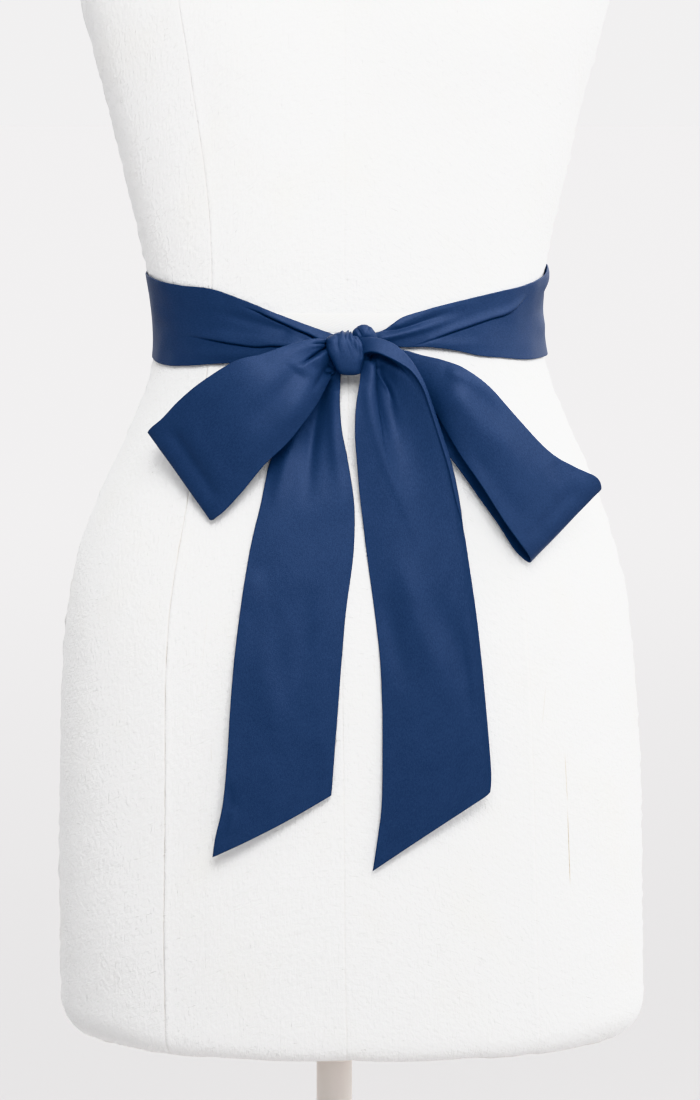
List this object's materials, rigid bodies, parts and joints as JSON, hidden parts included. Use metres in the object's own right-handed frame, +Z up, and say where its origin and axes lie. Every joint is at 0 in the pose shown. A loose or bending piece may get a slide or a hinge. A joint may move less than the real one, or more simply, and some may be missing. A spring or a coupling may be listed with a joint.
{
  "type": "satin sash on a limbless dress form",
  "caption": "Satin sash tied in a bow with two loops and two slant-cut tails, round the waist of a limbless dress form on a pole and round foot.",
  "frame": {"origin": "on the floor at the middle of the round foot", "axes": "+Z up; the bow faces -Y; +X is to the right of someone looking at the bow"},
  "size_m": [0.45, 0.45, 1.509],
  "materials": {
    "satin": "matte-backed satin with a soft sheen",
    "painted_linen": "linen cover under white paint",
    "painted_steel": "matte grey-beige paint"
  },
  "bodies": {
    "root": {"sash_band_left": "satin", "sash_band_right": "satin", "sash_band_back": "satin", "sash_knot": "satin", "sash_knot_turn": "satin", "sash_loop_left": "satin", "sash_loop_right": "satin", "sash_tail_left": "satin", "sash_tail_right": "satin", "sash_tail_hood": "satin", "form_torso": "painted_linen", "form_collar": "painted_steel", "form_pole": "painted_steel", "form_base": "painted_steel"}
  },
  "joints": []
}
